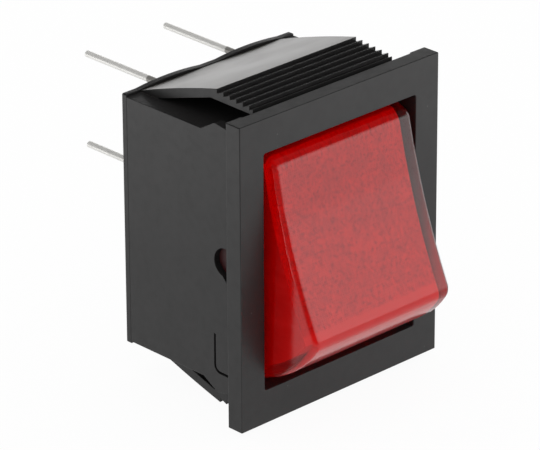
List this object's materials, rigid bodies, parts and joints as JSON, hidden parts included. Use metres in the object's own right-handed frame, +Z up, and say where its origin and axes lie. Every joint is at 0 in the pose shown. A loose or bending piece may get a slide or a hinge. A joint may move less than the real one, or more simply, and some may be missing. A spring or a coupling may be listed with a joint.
{
  "type": "panel rocker switch",
  "caption": "Snap-in panel rocker switch: red translucent lit rocker in a black square-cornered bezel, toothed snap arms, box body and round solder pins.",
  "frame": {"origin": "centre of the panel cut-out, on the rear face of the bezel", "axes": "+Y into the panel towards the pins, +X to the right seen from the front, +Z up along the rocker's long side"},
  "size_m": [0.025, 0.0342, 0.0312],
  "materials": {
    "housing": "black moulded nylon, semi-matt with fine grain",
    "base": "black moulded nylon, semi-matt",
    "rocker": "translucent red moulding with a fine prism pattern inside",
    "plunger": "natural acetal",
    "spring": "drawn spring wire",
    "lever": "stamped copper alloy strip",
    "contact": "silver alloy rivet",
    "terminal": "tinned",
    "lamp_glass": "clear drawn glass",
    "electrode": "dull nickel",
    "lead": "tinned wire",
    "resistor": "tan lacquer"
  },
  "bodies": {
    "housing": {"housing": "housing", "base": "base", "lamp_bulb": "lamp_glass", "lamp_electrodes": "electrode", "lamp_lead_left": "lead", "lamp_lead_right": "lead", "resistor": "resistor", "resistor_lead": "lead", "fixed_contact_left": "contact", "common_terminal_left": "terminal", "load_terminal_left": "terminal", "fixed_contact_right": "contact", "common_terminal_right": "terminal", "load_terminal_right": "terminal"},
    "rocker": {"rocker": "rocker", "plunger_spring_left": "spring", "plunger_spring_right": "spring"},
    "plunger_left": {"plunger_left": "plunger"},
    "plunger_right": {"plunger_right": "plunger"},
    "lever_left": {"contact_lever_left": "lever", "moving_contact_left": "contact"},
    "lever_right": {"contact_lever_right": "lever", "moving_contact_right": "contact"}
  },
  "joints": [
    {"name": "rocker_pivot", "type": "hinge", "parent": "housing", "child": "rocker", "pos_m": [0, 0.0023, 0], "axis": [1, 0, 0], "range_deg": [0, 37]},
    {"name": "plunger_left_slide", "type": "slide", "parent": "rocker", "child": "plunger_left", "axis": [0, 0.9483, -0.3173], "range_m": [-0.0008, 0], "stiffness_N_per_m": 300, "springref_m": 0.002, "deforming": ["plunger_spring_left"]},
    {"name": "plunger_right_slide", "type": "slide", "parent": "rocker", "child": "plunger_right", "axis": [0, 0.9483, -0.3173], "range_m": [-0.0008, 0], "stiffness_N_per_m": 300, "springref_m": 0.002, "deforming": ["plunger_spring_right"]},
    {"name": "lever_left_tilt", "type": "hinge", "parent": "housing", "child": "lever_left", "pos_m": [-0.00495, 0.0116, 0], "axis": [1, 0, 0], "range_deg": [-12, 0]},
    {"name": "lever_right_tilt", "type": "hinge", "parent": "housing", "child": "lever_right", "pos_m": [0.00495, 0.0116, 0], "axis": [1, 0, 0], "range_deg": [-12, 0]}
  ],
  "couplings": [
    {"joint": "lever_left_tilt", "follows": "rocker_pivot", "ratio": -0.32432},
    {"joint": "lever_right_tilt", "follows": "rocker_pivot", "ratio": -0.32432}
  ]
}
